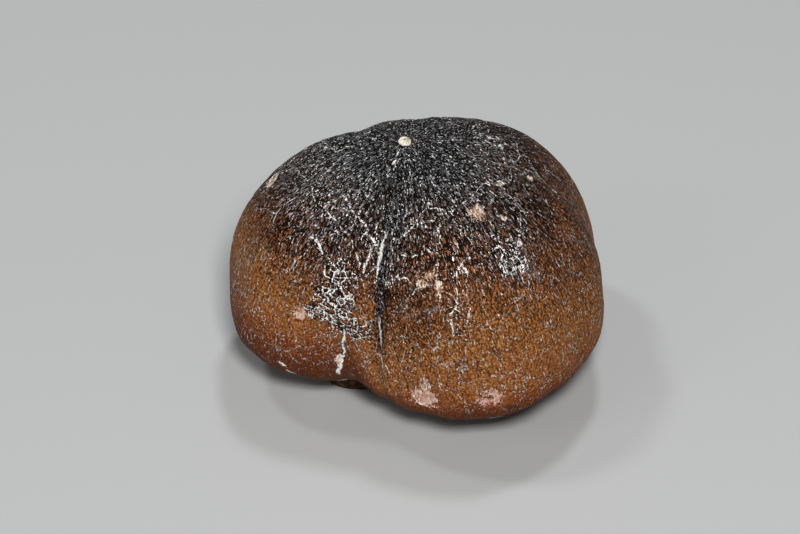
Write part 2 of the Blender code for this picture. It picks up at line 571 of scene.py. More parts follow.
@dataclass
class ToothSkin:
    """The whole tooth's surface: enamel, worn spots, margin, neck and foot as one closed mesh."""

    columns: int = 512
    row_count: int = 187
    front_density: float = 0.25
    row_turns: tuple[float, ...] = (0.0, 4.0, 9.0, 35.0, 50.0, 143.0, 158.0, 180.0)
    row_steps: tuple[float, ...] = (0.08, 0.10, 0.24, 0.24, 0.14, 0.14, 0.30, 1.30)

    draw_turns: tuple[float, ...] = (0.0, 20.0, 45.0, 75.0, 110.0)
    draws: tuple[float, ...] = (1.2, 1.8, 2.1, 1.3, 1.0)
    low_wrinkles: Wrinkles = Wrinkles(spacing=2.6 * MM, draw=1.5, seed=5)
    low_height: float = 0.16 * MM
    ribs: Wrinkles = Wrinkles(spacing=0.66 * MM, draw=1.0, seed=11)
    rib_height: float = 0.11 * MM
    pebbles: Wrinkles = Wrinkles(spacing=0.56 * MM, draw=1.0, seed=23)
    pebble_height: float = 0.06 * MM
    pebble_turn: float = 58.0
    pebble_softness: float = 8.0
    ridge_middle: float = 0.6
    calm_turn: float = 96.0
    calm_softness: float = 5.0
    calm_share: float = 0.75
    bare_share: float = 0.7
    furrow_depth: float = 0.10 * MM
    furrow_half_width: float = 0.15
    crumbs: Wrinkles = Wrinkles(spacing=0.42 * MM, draw=1.0, seed=41)
    crumb_height: float = 0.10 * MM
    nub_radius: float = 0.55 * MM
    nub_height: float = 0.35 * MM
    neck_height: float = 0.16 * MM
    nub_place: Place = Place(-150.0, 1.4)
    neck_inset: Span = (1.0, 1.5)
    neck_softness: float = 0.6
    crown_inset: float = 3.0
    crown_softness: float = 1.2
    drifts: tuple[Drift, ...] = (
        Drift(-101.0, 7.0, 14.0, 46.0, -14.0),
        # Painted shade: a narrow dark strip down the bottom of the main crease.
        Drift(-105.0, 3.4, 44.0, 116.0, -25.0),
        Drift(-91.0, 14.0, 58.0, 96.0, -10.0),
        Drift(-62.0, 34.0, 92.0, 125.0, 14.0),
        Drift(-120.0, 15.0, 80.0, 130.0, 10.0),
        Drift(-138.0, 22.0, 46.0, 84.0, -10.0),
        Drift(-72.0, 17.0, 36.0, 68.0, 6.0),
        Drift(-8.0, 38.0, 14.0, 46.0, 8.0),
        Drift(-2.0, 24.0, 54.0, 86.0, -10.0),
        # Painted shade: this drift darkens the lower left lobe towards russet and maroon, as if that side were
        # less lit.
        Drift(-154.0, 34.0, 66.0, 130.0, 23.0),
        Drift(150.0, 30.0, 30.0, 70.0, -6.0),
        Drift(75.0, 25.0, 20.0, 64.0, 9.0),
    )

    creases: tuple[Crease, ...] = (
        Crease(Place(-112.0, 24.0), Place(-102.5, 118.0), 0.75 * MM, 0.50 * MM),
        Crease(Place(-98.0, 34.0), Place(-96.5, 110.0), 0.60 * MM, 0.17 * MM),
        Crease(Place(-93.0, 40.0), Place(-92.0, 104.0), 0.60 * MM, 0.12 * MM),
        Crease(Place(-121.5, 79.0), Place(-126.0, 112.0), 0.50 * MM, 0.16 * MM),
    )
    spalls: tuple[Spall, ...] = (
        Spall(Place(-87.0, 91.0), 1.35 * MM, 0.22 * MM),
        Spall(Place(-66.5, 90.0), 0.85 * MM, 0.12 * MM),
        Spall(Place(-82.5, 53.0), 0.85 * MM, 0.12 * MM),
        Spall(Place(-50.5, 31.5), 0.75 * MM, 0.12 * MM),
        Spall(Place(-138.0, 73.0), 0.70 * MM, 0.10 * MM),
        Spall(Place(169.5, 49.0), 0.70 * MM, 0.14 * MM),
    )
    marks: tuple[Mark, ...] = (
        Mark(Stain.CHALK, Place(-125.5, 65.0), 1.65 * MM, 1.0, 1.9),
        Mark(Stain.CHALK, Place(-117.5, 74.3), 1.85 * MM, 0.95, 0.55),
        Mark(Stain.CHALK, Place(-133.0, 71.0), 1.2 * MM, 0.80, 0.8),
        Mark(Stain.CHALK, Place(-48.0, 48.0), 1.6 * MM, 0.63, 1.3),
        Mark(Stain.CHALK, Place(-74.0, 63.0), 1.2 * MM, 0.5, 1.6),
        Mark(Stain.DUST, Place(-169.5, 30.0), 3.2 * MM, 0.9),
        Mark(Stain.DUST, Place(160.0, 24.0), 3.4 * MM, 0.8),
        Mark(Stain.DUST, Place(174.0, 38.0), 2.6 * MM, 0.7),
        Mark(Stain.DUST, Place(-142.0, 35.0), 2.2 * MM, 0.95, 1.3),
        Mark(Stain.DUST, Place(2.0, 22.0), 3.0 * MM, 0.9),
        Mark(Stain.DUST, Place(-20.0, 30.0), 2.6 * MM, 0.8),
        Mark(Stain.DUST, Place(-49.0, 46.0), 2.4 * MM, 0.9, 1.4),
        Mark(Stain.DUST, Place(-171.0, 74.0), 1.6 * MM, 1.2, 1.5),
        Mark(Stain.DUST, Place(60.0, 52.0), 2.6 * MM, 0.6),
        Mark(Stain.DUST, Place(105.0, 38.0), 3.0 * MM, 0.7),
        Mark(Stain.NUB, nub_place, 0.44 * MM),
        Mark(Stain.CREAM, Place(-20.0, 1.0), 0.60 * MM, 0.36),
        Mark(Stain.CREAM, Place(-50.5, 31.5), 0.78 * MM, 0.68, 1.1),
        Mark(Stain.CREAM, Place(-82.5, 49.6), 0.78 * MM, 0.64, 0.45),
        Mark(Stain.CREAM, Place(-79.0, 53.0), 0.50 * MM, 0.63, 1.8),
        Mark(Stain.CREAM, Place(-86.0, 52.5), 0.42 * MM, 0.59, 1.4),
        Mark(Stain.CREAM, Place(-124.8, 91.0), 0.34 * MM, 0.6, 2.0),
        Mark(Stain.CREAM, Place(169.5, 49.0), 0.56 * MM, 0.9, 1.3),
        Mark(Stain.CREAM, Place(-23.0, 29.5), 0.25 * MM),
        Mark(Stain.CREAM, Place(-4.0, 39.0), 0.26 * MM),
        Mark(Stain.CREAM, Place(-40.0, 37.0), 0.26 * MM),
        Mark(Stain.CREAM, Place(95.0, 62.0), 0.75 * MM, 0.9, 1.3),
        Mark(Stain.CREAM, Place(-86.5, 87.0), 0.62 * MM, 0.8, 1.3),
        Mark(Stain.ROSE, Place(-87.0, 93.0), 1.05 * MM, 1.1, 0.7),
        Mark(Stain.ROSE, Place(-67.0, 90.0), 0.80 * MM, 0.62, 0.9, 0.7),
        Mark(Stain.ROSE, Place(-67.5, 90.5), 0.62 * MM, 0.20, 0.8),
        Mark(Stain.ROSE, Place(-138.0, 73.0), 0.52 * MM, 0.8, 1.2),
        Mark(Stain.ROSE, Place(38.0, 84.0), 0.9 * MM, 0.7, 1.2),
        Mark(Stain.SOOT, Place(-60.0, 99.0), 0.80 * MM, 0.9, 0.45),
        Mark(Stain.BARE, Place(-58.0, 118.8), 1.7 * MM, 1.0, 0.45),
        Mark(Stain.BARE, Place(-147.0, 135.5), 1.3 * MM, 1.0, 0.28),
        Mark(Stain.BARE, Place(-138.0, 132.8), 1.4 * MM, 1.0, 0.25),
        Mark(Stain.BARE, Place(-145.0, 130.0), 1.2 * MM, 1.0, 0.6),
        Mark(Stain.BARE, Place(-88.0, 132.0), 1.6 * MM, 1.0, 0.6),
        Mark(Stain.BARE, Place(110.0, 128.0), 1.8 * MM, 1.0, 0.5),
    )
    filled_cracks: tuple[Triples, ...] = (
        ((-106.0, 39.5, 0.03), (-107.6, 42.5, 0.12), (-107.8, 48.5, 0.14)),
        ((-107.8, 48.5, 0.14), (-108.6, 53.0, 0.06), (-108.6, 56.5, 0.03)),
        ((-111.2, 37.0, 0.02), (-108.0, 38.2, 0.03), (-105.0, 39.5, 0.03)),
        ((-112.6, 44.8, 0.08), (-113.0, 47.8, 0.03), (-114.0, 51.5, 0.06), (-113.6, 54.2, 0.03)),
        ((-110.5, 43.5, 0.03), (-115.5, 41.0, 0.02), (-120.2, 37.0, 0.04), (-127.0, 36.0, 0.03)),
        ((-127.0, 36.0, 0.04), (-137.0, 30.2, 0.05), (-148.0, 28.0, 0.03)),
        ((-144.5, 42.0, 0.03), (-137.2, 43.0, 0.03), (-127.5, 42.0, 0.03)),
        ((-144.2, 46.8, 0.03), (-139.8, 46.5, 0.07), (-135.2, 50.5, 0.04), (-135.0, 53.5, 0.02)),
        ((-121.6, 77.0, 0.08), (-122.4, 84.0, 0.08), (-123.2, 89.5, 0.05)),
        ((-123.8, 88.0, 0.05), (-124.6, 92.0, 0.15), (-126.0, 100.0, 0.15), (-127.0, 106.0, 0.10)),
        ((-125.2, 5.2, 0.04), (-119.2, 9.5, 0.03), (-114.8, 13.2, 0.02)),
        ((-105.0, 67.0, 0.04), (-104.4, 70.5, 0.16), (-104.0, 75.0, 0.12), (-103.4, 78.5, 0.02)),
        ((-104.6, 80.0, 0.06), (-104.2, 83.0, 0.09), (-103.6, 87.0, 0.02)),
        ((-103.0, 86.0, 0.04), (-102.8, 92.0, 0.05), (-102.2, 99.0, 0.11), (-101.8, 104.0, 0.06)),
        ((-101.5, 82.0, 0.04), (-100.2, 84.5, 0.06), (-98.75, 86.5, 0.03)),
        ((-93.8, 36.8, 0.06), (-89.0, 35.5, 0.04), (-83.0, 34.2, 0.03), (-77.2, 34.5, 0.02)),
        ((-82.8, 32.2, 0.03), (-75.5, 31.5, 0.03), (-73.5, 29.8, 0.04), (-65.5, 29.0, 0.03)),
        ((-65.5, 29.0, 0.03), (-60.2, 26.8, 0.04), (-59.2, 24.0, 0.03), (-68.0, 18.5, 0.02)),
        ((-94.0, 44.2, 0.04), (-89.5, 44.2, 0.05), (-85.0, 43.0, 0.03), (-78.8, 39.5, 0.02)),
        ((-81.0, 41.5, 0.02), (-76.8, 42.5, 0.02), (-73.2, 42.0, 0.02)),
        ((-74.8, 33.8, 0.06), (-75.5, 36.5, 0.03)),
        ((-67.5, 44.8, 0.01), (-67.8, 48.8, 0.02), (-69.2, 52.2, 0.00)),
        ((-76.2, 56.2, 0.02), (-76.5, 60.8, 0.03), (-75.8, 68.5, 0.02)),
        ((-68.8, 55.5, 0.02), (-69.8, 59.8, 0.03), (-71.0, 63.5, 0.02)),
        ((-128.8, 72.8, 0.02), (-124.0, 71.0, 0.05), (-119.8, 72.2, 0.04), (-109.8, 68.0, 0.03)),
        ((-139.5, 80.0, 0.04), (-138.5, 86.5, 0.03)),
        ((168.4, 47.8, 0.14), (170.6, 50.2, 0.26)),
        ((-23.6, 29.0, 0.12), (-22.6, 29.8, 0.20)),
        ((-145.5, 96.0, 0.06), (-143.8, 99.0, 0.10), (-144.6, 102.0, 0.07)),
        ((-143.2, 102.0, 0.05), (-144.0, 105.5, 0.09), (-142.5, 109.0, 0.11)),
        ((-91.0, 93.0, 0.03), (-89.5, 97.5, 0.06), (-86.0, 99.5, 0.05), (-82.5, 98.0, 0.03)),
    )
    open_cracks: tuple[Triples, ...] = (
        ((-121.6, 76.0, 0.14), (-122.4, 84.0, 0.17), (-123.2, 90.0, 0.14)),
        ((-106.4, 40.5, 0.14), (-107.7, 48.5, 0.24), (-108.6, 54.0, 0.14)),
        ((-112.0, 19.2, 0.02), (-108.2, 32.5, 0.06), (-107.8, 44.0, 0.05), (-105.6, 57.8, 0.04)),
        ((-105.6, 57.8, 0.07), (-105.4, 67.5, 0.09), (-105.0, 76.5, 0.09), (-102.4, 106.0, 0.07)),
        ((-97.0, 33.0, 0.02), (-97.0, 45.0, 0.05), (-97.8, 57.8, 0.03), (-96.8, 90.0, 0.02)),
        ((-104.2, 58.0, 0.03), (-102.0, 61.8, 0.04), (-100.0, 69.2, 0.03), (-99.0, 79.2, 0.02)),
        ((-93.4, 60.0, 0.02), (-92.8, 78.0, 0.04), (-92.6, 98.0, 0.02)),
        ((-102.8, 70.0, 0.03), (-101.5, 80.0, 0.06), (-100.0, 94.0, 0.03)),
        ((-100.5, 66.0, 0.02), (-97.5, 76.0, 0.05), (-93.5, 86.0, 0.04), (-91.0, 92.0, 0.02)),
        ((-98.0, 62.0, 0.02), (-94.5, 71.0, 0.05), (-89.5, 80.0, 0.03)),
        ((-95.5, 64.0, 0.02), (-91.0, 73.0, 0.05), (-86.0, 81.0, 0.02)),
    )
    stray: float = 0.13 * MM
    stray_spacing: float = 0.55 * MM
    stray_seeds: tuple[int, int, int] = (71, 72, 73)

    bearing: Array = field(init=False, repr=False)
    turn: Array = field(init=False, repr=False)
    smooth: Array = field(init=False, repr=False)
    lane: Array = field(init=False, repr=False)
    octave: Array = field(init=False, repr=False)

    def __post_init__(self) -> None:
        """Lay the grid on the smooth form.

        A vertex's lane is its bearing's cosine and sine, and its way down from the apex, eased by dividing
        each step by the draw there, so that a pattern laid on it is drawn out down the crown.
        """
        self.bearing, self.turn = self.grid()
        self.smooth = FORM.points(self.bearing, self.turn)
        apex = FORM.point(Place(0.0, 0.0))
        turn, way = self.way_down()
        draw = np.interp(turn, self.draw_turns, self.draws)
        eased = np.concatenate([[0.0], np.cumsum(np.diff(way) / draw[1:])])
        down = np.interp(self.turn, turn, eased)
        self.lane = np.stack([cosine(self.bearing), sine(self.bearing), down], axis=-1)
        self.octave = self.ribs.octave(np.linalg.norm(self.smooth[:, :2] - apex[:2], axis=1))

    def way_down(self) -> tuple[Array, Array]:
        """The way down the surface, as the mean of its length along lines that are laid all round it.

        Returns:
            Turns, and the length from the apex down to each.
        """
        quarter_degrees = 4 * 180 + 1
        lines_round = 36
        turn = np.linspace(0.0, 180.0, quarter_degrees)
        bearing = np.linspace(-180.0, 180.0, lines_round, endpoint=False)
        lines = FORM.points(np.repeat(bearing, len(turn)), np.tile(turn, len(bearing)))
        lines = lines.reshape(len(bearing), len(turn), 3)
        lengths = np.linalg.norm(np.diff(lines, axis=1), axis=2).mean(axis=0)
        return turn, np.concatenate([[0.0], np.cumsum(lengths)])

    def grid(self) -> tuple[Array, Array]:
        """The bearing and turn of every vertex.

        The rows are spaced so that each step down the surface has the length that row_steps gives at its
        turn, all scaled alike to fill the row count. The columns stand closer at the front, by a sine of the
        bearing. The first and last vertices are the two poles, and the rows between are whole rings.

        Returns:
            One bearing and one turn for each vertex, row by row.
        """
        turn, way = self.way_down()
        steps = np.interp(turn, self.row_turns, self.row_steps)
        count = np.concatenate([[0.0], np.cumsum(np.diff(way) / steps[1:])])
        rows = np.interp(np.linspace(0.0, count[-1], self.row_count), count, turn)[1:-1]
        even = np.linspace(-180.0, 180.0, self.columns, endpoint=False)
        bearing = even - np.degrees(self.front_density) * np.cos(np.radians(even))
        bearings = np.concatenate([[0.0], np.tile(bearing, len(rows)), [0.0]])
        turns = np.concatenate([[0.0], np.repeat(rows, self.columns), [180.0]])
        return bearings, turns

    def faces(self) -> tuple[Array, Array]:
        """The pole triangles and the ring quads, by their vertices, wound to face out.

        Returns:
            Rows of three, and rows of four.
        """
        rings = self.row_count - 2
        here = np.arange(self.columns)
        after = (here + 1) % self.columns
        last = rings * self.columns + 1
        top = np.stack([np.zeros_like(here), 1 + here, 1 + after], axis=-1)
        low = last - self.columns
        foot = np.stack([low + here, np.full_like(here, last), low + after], axis=-1)
        ring = 1 + self.columns * np.arange(rings - 1)[:, None]
        below = ring + self.columns
        quads = np.stack([ring + here, below + here, below + after, ring + after], axis=-1)
        return np.concatenate([top, foot]), quads.reshape(-1, 4)

    def band(self) -> Array:
        """How far down its bands of colour each vertex is, in degrees: the turn and all its drifts."""
        return self.turn + sum(drift.shift(self.bearing, self.turn) for drift in self.drifts)

    def covers(self) -> dict[Stain, Array]:
        """How strongly each stain covers each vertex: the strongest of its marks.

        Returns:
            One share for each vertex, by stain.
        """
        found = {stain: np.zeros(len(self.turn)) for stain in Stain}
        for mark in self.marks:
            found[mark.stain] = np.maximum(found[mark.stain], mark.cover(self.smooth))
        return found

    def crack_distances(self) -> dict[Seam, Array]:
        """The distance in millimetres to the nearest crack of each sort, no more than 1.

        The points stray by a noise for each axis before the distances are taken, so the cracks do too.

        Returns:
            One distance for each vertex, by sort.
        """
        chances = [LatticeNoise(seed).at(self.smooth / self.stray_spacing) for seed in self.stray_seeds]
        strayed = self.smooth + self.stray * np.stack(chances, axis=-1)
        cracks = {Seam.FILLED: self.filled_cracks, Seam.OPEN: self.open_cracks}
        away = {seam: [Crack(path).distance(strayed) for path in paths] for seam, paths in cracks.items()}
        return {seam: np.min(distances, axis=0) for seam, distances in away.items()}

    def ridges(self) -> Array:
        """The fine wrinkles from 0 in a groove to about 1 on a ridge.

        They are the square root of a noise without its sign, which folds it into narrow grooves and round
        ridges: long ribs above and pebbles below, with a soft change between them.

        Returns:
            One value for each vertex.
        """
        fields = (wrinkles.field(self.lane, self.octave) for wrinkles in (self.ribs, self.pebbles))
        ribs, pebbles = (np.sqrt(np.abs(noise)) for noise in fields)
        return ribs + (pebbles - ribs) * self.pebbled()

    def pebbled(self) -> Array:
        """How far each vertex is from the ribs above, at 0, to the pebbles below, at 1."""
        return step_up(self.turn, self.pebble_turn, self.pebble_softness)

    def relief(self, ridges: Array, covers: dict[Stain, Array], cracks: dict[Seam, Array]) -> Array:
        """How far each vertex stands out of the smooth form.

        On the crown this is low swells, the ridges less their middle height, crumbs where the enamel is worn
        bare, the open cracks' furrows as bell curves, the creases and the spalls. Then come the nub, as a
        bell curve, and the neck's crumbs.

        Args:
            ridges: The fine wrinkles.
            covers: How strongly each stain covers each vertex.
            cracks: The distance to cracks.

        Returns:
            Heights in metres.
        """
        calm = 1.0 - self.calm_share * step_up(self.turn, self.calm_turn, self.calm_softness)
        height = (self.rib_height + (self.pebble_height - self.rib_height) * self.pebbled()) * calm
        bare = np.clip(covers[Stain.ROSE] + covers[Stain.CREAM], 0.0, 1.0)
        crumbs = self.crumbs.field(self.lane, self.octave)
        out = self.low_height * self.low_wrinkles.field(self.lane, self.octave)
        out += height * (ridges - self.ridge_middle) * (1.0 - self.bare_share * bare)
        out += self.crumb_height * crumbs * bare
        out -= self.furrow_depth * bell(np.maximum(cracks[Seam.OPEN], 0.0) / self.furrow_half_width)
        for crease in self.creases:
            out += crease.relief(self.bearing, self.turn, self.smooth)
        for spall in self.spalls:
            out += spall.relief(self.smooth)
        top, foot = FORM.margin_turn + self.neck_inset[0], FORM.foot_turn - self.neck_inset[1]
        neck = stretch(self.turn, top, foot, self.neck_softness)
        nub_distance = np.linalg.norm(self.smooth - FORM.point(self.nub_place), axis=1)
        nub = self.nub_height * bell(nub_distance / self.nub_radius)
        on_crown = 1.0 - step_up(self.turn, FORM.margin_turn - self.crown_inset, self.crown_softness)
        return out * on_crown + nub + self.neck_height * crumbs * neck

    def build(self) -> bpy.types.Object:
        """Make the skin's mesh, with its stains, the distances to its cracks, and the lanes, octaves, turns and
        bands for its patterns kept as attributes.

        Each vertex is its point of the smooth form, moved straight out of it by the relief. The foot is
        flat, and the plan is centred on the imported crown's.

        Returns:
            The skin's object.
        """
        covers = self.covers()
        cracks = self.crack_distances()
        ridges = self.ridges()
        outward = FORM.slopes(self.bearing, self.turn)[2]
        on_foot = self.turn >= FORM.foot_turn
        rise = np.where(on_foot, 0.0, self.relief(ridges, covers, cracks))
        points = self.smooth + rise[:, None] * outward
        points[:, 2] = np.where(on_foot, 0.0, np.maximum(points[:, 2], 0.0))
        low, high = (np.array(corner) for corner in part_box("tooth_crown"))
        middle = (points.min(axis=0) + points.max(axis=0)) / 2.0
        points[:, :2] += ((low + high) / 2.0 - middle)[:2]
        triangles, quads = self.faces()
        mesh = bpy.data.meshes.new("tooth_skin")
        mesh.from_pydata(points, [], [*triangles.tolist(), *quads.tolist()])
        mesh.shade_smooth()
        lane = self.lane / np.array([1.0, 1.0, MM])
        kept = {"lane": lane, "octave": self.octave, "turn": self.turn, "band": self.band()}
        kept |= {sort.value: values for sort, values in (covers | cracks).items()}
        for name, values in kept.items():
            self.keep(mesh, name, values)
        return stand("tooth_skin", mesh)

    @staticmethod
    def keep(mesh: bpy.types.Mesh, name: str, values: Array) -> None:
        """Keep one value or vector for each vertex as an attribute.

        Args:
            mesh: The mesh.
            name: The attribute's name.
            values: One row each.
        """
        kind, slot = ("FLOAT", "value") if values.ndim == 1 else ("FLOAT_VECTOR", "vector")
        layer = mesh.attributes.new(name, kind, "POINT")
        layer.data.foreach_set(slot, values.astype(np.float32).ravel())

    def dress(self, skin: bpy.types.Object, finish: "EnamelFinish") -> None:
        """Give the skin its finish and its place in the table.

        Args:
            skin: The skin's object.
            finish: Its finish.
        """
        skin.data.materials.append(finish.material())
        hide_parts("tooth_crown")
        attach(skin, "root")


# ---------------------------------------------------------------- shader arithmetic


Number = Union[float, "Wire"]
Paint = Union[Colour, "Wire"]


class Wire:
    """An output socket that takes part in sums as a number does."""

    def __init__(self, bench: "Bench", socket: bpy.types.NodeSocket) -> None:
        """Wrap a socket of the bench's node tree."""
        self.bench = bench
        self.socket = socket

    def __add__(self, other: Number) -> "Wire":
        """The sum."""
        return self.bench.maths("ADD", self, other)

    def __radd__(self, other: Number) -> "Wire":
        """The sum, with the number first."""
        return self.bench.maths("ADD", other, self)

    def __sub__(self, other: Number) -> "Wire":
        """The difference."""
        return self.bench.maths("SUBTRACT", self, other)

    def __rsub__(self, other: Number) -> "Wire":
        """The difference, with the number first."""
        return self.bench.maths("SUBTRACT", other, self)

    def __mul__(self, other: Number) -> "Wire":
        """The product."""
        return self.bench.maths("MULTIPLY", self, other)

    def __rmul__(self, other: Number) -> "Wire":
        """The product, with the number first."""
        return self.bench.maths("MULTIPLY", other, self)

    def __abs__(self) -> "Wire":
        """The size without the sign."""
        return self.bench.maths("ABSOLUTE", self)

    def at_most(self, other: Number) -> "Wire":
        """The smaller of the two."""
        return self.bench.maths("MINIMUM", self, other)

    def at_least(self, *others: Number) -> "Wire":
        """The largest of this and the others."""
        return functools.reduce(lambda best, other: self.bench.maths("MAXIMUM", best, other), others, self)

    def clamped(self) -> "Wire":
        """The value held between 0 and 1."""
        return self.at_least(0.0).at_most(1.0)

    def rise(self, low: float, high: float) -> "Wire":
        """A smooth step: 0 up to low and 1 from high, or the other way round where low is above high.

        Args:
            low: Where it is 0.
            high: Where it is 1.

        Returns:
            The stepped value.
        """
        span = {"From Min": min(low, high), "From Max": max(low, high)}
        ends = {"To Min": float(low > high), "To Max": float(low < high)}
        settings = {"interpolation_type": "SMOOTHSTEP"}
        return self.bench.wire("ShaderNodeMapRange", settings, {"Value": self, **span, **ends}, "Result")


class Bench:
    """A material's node tree, with one way to add any node to it."""

    def __init__(self, name: str) -> None:
        """Start a material.

        Args:
            name: The material's name.
        """
        self.material = bpy.data.materials.new(name)
        self.material.use_nodes = True
        self.tree = self.material.node_tree

    def wire(
        self,
        kind: str,
        settings: Mapping[str, Any],
        sockets: Mapping[Union[str, int], Any],
        output: Union[str, int] = 0,
    ) -> Wire:
        """Add a node and take up one of its outputs.

        Args:
            kind: The node's type.
            settings: Its properties, set first. A ramp's are under "stops": pairs of a place and a colour.
            sockets: A value or a wire for each input, by name or number.
            output: The output's name or number.

        Returns:
            The output.
        """
        node = self.tree.nodes.new(kind)
        for name, value in settings.items():
            if name == "stops":
                self.set_stops(node.color_ramp, value)
            else:
                setattr(node, name, value)
        for key, value in sockets.items():
            self.plug(value, node.inputs[key])
        return Wire(self, node.outputs[output])

    @staticmethod
    def set_stops(ramp: bpy.types.ColorRamp, stops: Sequence[tuple[float, Colour]]) -> None:
        """Put a ramp's stops in place, from the first two that it comes with.

        Args:
            ramp: The ramp.
            stops: A place from 0 to 1 and a colour for each.
        """
        for _ in stops[2:]:
            ramp.elements.new(1.0)
        for element, (place, colour) in zip(ramp.elements, stops):
            element.position = place
            element.color = colour

    def plug(self, value: Any, socket: bpy.types.NodeSocket) -> None:
        """Link a wire to a socket, or set the socket's own value.

        Args:
            value: The wire or the value.
            socket: The input.
        """
        if isinstance(value, Wire):
            self.tree.links.new(value.socket, socket)
        else:
            socket.default_value = value

    def surface(self, values: Mapping[str, Any]) -> bpy.types.Material:
        """Give the material's shader what it shows.

        Args:
            values: A value or a wire for each input, by name.

        Returns:
            The material.
        """
        shader = self.tree.nodes["Principled BSDF"]
        for name, value in values.items():
            self.plug(value, shader.inputs[name])
        return self.material

    def maths(self, operation: str, *values: Number) -> Wire:
        """One step of arithmetic."""
        return self.wire("ShaderNodeMath", {"operation": operation}, dict(enumerate(values)))

    def vectors(self, operation: str, *values: Any) -> Wire:
        """One step of arithmetic on vectors."""
        return self.wire("ShaderNodeVectorMath", {"operation": operation}, dict(enumerate(values)))

    def drawn(self, place: Wire, share: float) -> Wire:
        """The place with its third part scaled, which draws a pattern out or squeezes it down the crown."""
        return self.vectors("MULTIPLY", place, (1.0, 1.0, share))

    def read(self, name: str, output: str = "Fac") -> Wire:
        """A mesh attribute, as a number or as its "Vector"."""
        return self.wire("ShaderNodeAttribute", {"attribute_name": name}, {}, output)

    def chance(self, place: Wire, spacing: float, detail: float) -> Wire:
        """Noise about 0, mostly from -1 to 1, with bumps of about the spacing.

        Args:
            place: Where it is read.
            spacing: How far apart the bumps are.
            detail: How many finer sizes are laid over them.

        Returns:
            The noise.
        """
        gain = 5.0
        sockets = {"Vector": place, "Scale": 1.0 / spacing, "Detail": detail}
        return gain * (self.wire("ShaderNodeTexNoise", {}, sockets, "Fac") - 0.5)

    def wander(self, place: Wire, *ways: Span) -> Wire:
        """The place moved by noises one after the other, which makes straight edges wander.

        Args:
            place: The place.
            ways: For each noise, how far apart its bumps are and how wide a range it moves the place over.

        Returns:
            The moved place.
        """
        for spacing, reach in ways:
            sockets = {"Vector": place, "Scale": 1.0 / spacing, "Detail": 1.0}
            colour = self.wire("ShaderNodeTexNoise", {}, sockets, "Color")
            middled = self.vectors("SUBTRACT", colour, (0.5, 0.5, 0.5))
            place = self.vectors("ADD", place, self.vectors("MULTIPLY", middled, (reach, reach, reach)))
        return place

    def cells(self, place: Wire, size: float) -> Wire:
        """The distance to the nearest border of a net of cells, 0 at the border, in cell sizes."""
        sockets = {"Vector": place, "Scale": 1.0 / size}
        return self.wire("ShaderNodeTexVoronoi", {"feature": "DISTANCE_TO_EDGE"}, sockets, "Distance")

    def cell_chance(self, place: Wire, size: float) -> Wire:
        """A number from 0 to 1 that each cell of the same net has to itself."""
        colour = self.wire("ShaderNodeTexVoronoi", {}, {"Vector": place, "Scale": 1.0 / size}, "Color")
        return self.wire("ShaderNodeSeparateColor", {}, {0: colour})

    def mix(self, share: Number, under: Paint, over: Paint) -> Wire:
        """One colour over another, by a share."""
        return self.wire("ShaderNodeMix", {"data_type": "RGBA"}, {0: share, 6: under, 7: over}, 2)


# ---------------------------------------------------------------- finishes


class Patterns:
    """What the layers of the enamel's finish share at a point of the skin."""

    def __init__(self, bench: Bench, finish: "EnamelFinish") -> None:
        """Lay out the noises, nets and bands.

        Args:
            bench: The material's bench.
            finish: The finish, which holds their sizes.
        """
        self.place = bench.wire("ShaderNodeTexCoord", {}, {}, "Object")
        self.lane = self.ringed(bench, finish)
        # How far down the crown the point is, and how far down its bands of colour, in degrees.
        self.turn = bench.read("turn")
        self.band = bench.read("band")
        # Noises from fine to coarse, and a fine one that is drawn out down the crown.
        crumbs = bench.chance(self.place, finish.crumb, 2.0)
        self.fine = 0.5 * crumbs + 0.5 * bench.chance(self.place, finish.grain, 1.0)
        self.lumps = bench.chance(self.place, finish.lump, 2.0)
        self.clumps = bench.chance(self.place, finish.clump, 2.0)
        draw = (1.0, 1.0, finish.stroke_draw)
        strokes = bench.vectors("MULTIPLY_ADD", self.lane, draw, finish.stroke_shift)
        self.flow = bench.chance(strokes, finish.stroke, 1.0)
        # Noise that is 0 along the wrinkles' grooves.
        worms = bench.wander(bench.drawn(self.lane, finish.worm_draw), finish.worm_wander)
        self.wave = bench.chance(worms, finish.worm, 1.0)
        # 1 on the golden lower crown, where grooves are brown, on the smooth lowest band, and in a white net.
        self.low = (self.band + 5.0 * self.clumps).rise(*finish.low_bands)
        self.mellow = self.band.rise(*finish.mellow_bands)
        self.calm = self.turn.rise(*finish.calm_turns)
        self.chalky = bench.read(Stain.CHALK.value)
        # 1 in the lines between the lower crown's tiles, and between a few wide plates higher up.
        tiles = bench.wander(bench.drawn(self.lane, finish.tile_draw), *finish.tile_wanders)
        tile_lines = bench.cells(tiles, finish.tile).rise(*finish.tile_line)
        self.tiles = tile_lines * self.turn.rise(*finish.tile_turns) * (1.0 - 0.7 * self.calm)
        plates = bench.wander(self.place, *finish.plate_wanders)
        plate_lines = bench.cells(plates, finish.plate).rise(*finish.plate_line)
        top, foot = finish.plate_top_turns, finish.plate_foot_turns
        self.plates = plate_lines * self.turn.rise(*top) * self.turn.rise(*foot)

    def ringed(self, bench: Bench, finish: "EnamelFinish") -> Wire:
        """The lane laid on a cylinder of about the crown's own radius, so that patterns keep their spacing.

        The cylinders' radii grow by the square root of 2, and the change from one to the next is ragged.

        Args:
            bench: The material's bench.
            finish: The finish, which holds the ragged edge's size.

        Returns:
            The place on the cylinder, in metres.
        """
        octave = bench.read("octave") + 0.12 * bench.chance(self.place, finish.ring_drift, 1.0)
        ring = bench.maths("ROUND", 2.0 * octave)
        radius = ToothSkin.ribs.first_radius * bench.maths("POWER", 2.0**0.5, ring)
        spread = bench.wire("ShaderNodeCombineXYZ", {}, {0: radius, 1: radius, 2: MM})
        return bench.vectors("MULTIPLY", bench.read("lane", "Vector"), spread)


